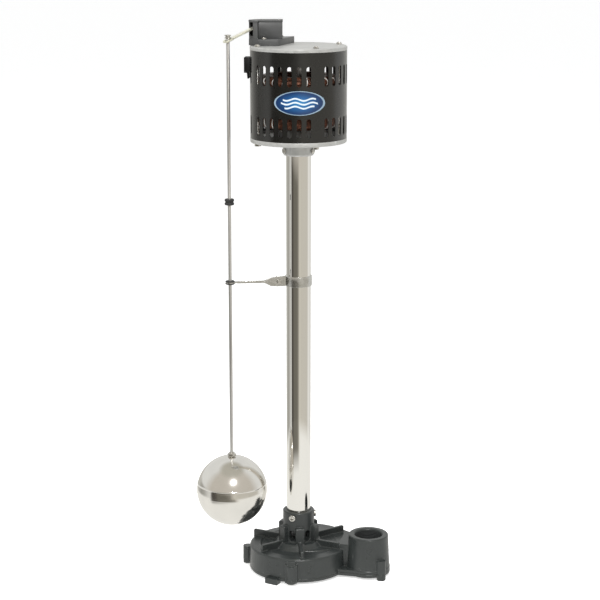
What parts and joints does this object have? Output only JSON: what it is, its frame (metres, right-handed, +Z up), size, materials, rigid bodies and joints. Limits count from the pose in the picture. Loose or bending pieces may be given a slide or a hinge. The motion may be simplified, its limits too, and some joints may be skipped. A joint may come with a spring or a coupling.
{
  "type": "pedestal sump pump",
  "caption": "Pedestal sump pump: slotted motor on a tall chrome column, ribbed volute base with an upright outlet, and a ball float on a rod that tilts a switch lever.",
  "frame": {"origin": "on the column's axis at floor level", "axes": "+Z up along the column, +X from the column to the discharge socket"},
  "size_m": [0.2743, 0.1858, 0.797],
  "materials": {
    "base_plastic": "moulded dark grey thermoplastic, fine grain",
    "strainer_plastic": "moulded black",
    "gasket_rubber": "matt",
    "screw_steel": "zinc plated",
    "bronze_bearing": "sintered bronze",
    "column_chrome": "polished chrome plate",
    "shaft_steel": "ground steel",
    "impeller_plastic": "moulded black",
    "cast_aluminium": "die cast, light grey",
    "shell_paint": "semi-gloss black-brown enamel",
    "lamination_steel": "stacked laminations",
    "winding_copper": "varnished copper wire",
    "rotor_aluminium": "cast",
    "label_film": "printed film, plain blue with a pale border",
    "inlet_plastic": "moulded black",
    "float_steel": "polished stainless steel",
    "rod_steel": "bright drawn",
    "stop_rubber": "matt black",
    "guide_zinc": "zinc plated sheet",
    "switch_plastic": "moulded dark grey",
    "lever_zinc": "yellow-passivated zinc plate",
    "snap_switch_case": "moulded",
    "button_plastic": "moulded red",
    "bush_plastic": "black moulded plastic"
  },
  "bodies": {
    "pump_frame": {"volute_housing": "base_plastic", "base_plate": "base_plastic", "suction_strainer": "strainer_plastic", "casing_gasket": "gasket_rubber", "base_screws": "screw_steel", "collar_screws": "screw_steel", "lower_sleeve_bearing": "bush_plastic", "column_tube": "column_chrome", "steady_bearing": "stop_rubber", "lower_end_bell": "cast_aluminium", "upper_end_bell": "cast_aluminium", "hub_screws": "screw_steel", "motor_shell": "shell_paint", "stator_core": "lamination_steel", "upper_winding": "winding_copper", "lower_winding": "winding_copper", "lower_bearing": "bronze_bearing", "upper_bearing": "bronze_bearing", "through_bolts": "screw_steel", "bolt_nuts": "screw_steel", "label_badge": "label_film", "power_inlet": "inlet_plastic", "guide_clamp": "guide_zinc", "guide_arm": "guide_zinc", "guide_grommet": "stop_rubber", "clamp_screw": "screw_steel", "clamp_nut": "screw_steel", "switch_base": "switch_plastic", "switch_housing": "switch_plastic", "switch_cover": "switch_plastic", "switch_screws": "screw_steel", "cover_screws": "screw_steel", "lever_pivot_pin": "shaft_steel", "lever_bracket": "guide_zinc", "snap_switch": "snap_switch_case"},
    "shaft_assembly": {"pump_shaft": "shaft_steel", "impeller": "impeller_plastic", "impeller_nut": "screw_steel", "shaft_coupling": "shaft_steel", "coupling_screws": "screw_steel", "motor_shaft": "shaft_steel", "rotor_core": "lamination_steel", "rotor_end_rings": "rotor_aluminium"},
    "float_assembly": {"float_rod": "rod_steel", "rod_top_cap": "screw_steel", "rod_stop": "stop_rubber", "float_ferrule": "screw_steel", "float_nut": "screw_steel", "float_upper_shell": "float_steel", "float_lower_shell": "float_steel"},
    "lever": {"switch_lever": "lever_zinc"},
    "switch_button": {"snap_switch_button": "button_plastic"}
  },
  "joints": [
    {"name": "float_slide", "type": "slide", "parent": "pump_frame", "child": "float_assembly", "axis": [0, 0, 1], "range_m": [0, 0.2346]},
    {"name": "lever_tilt", "type": "hinge", "parent": "pump_frame", "child": "lever", "pos_m": [-0.05522, -0.00329, 0.7896], "axis": [-0.808, 0.5892, 0], "range_deg": [0, 18.5]},
    {"name": "button_press", "type": "slide", "parent": "pump_frame", "child": "switch_button", "axis": [0, 0, -1], "range_m": [0, 0.0024]},
    {"name": "shaft_spin", "type": "hinge", "parent": "pump_frame", "child": "shaft_assembly", "pos_m": [0, 0, 0.3], "axis": [0, 0, 1], "continuous": true}
  ],
  "couplings": [
    {"joint": "lever_tilt", "follows": "float_slide", "rad_per_m": 1.3763},
    {"joint": "button_press", "follows": "float_slide", "ratio": 0.01023}
  ]
}
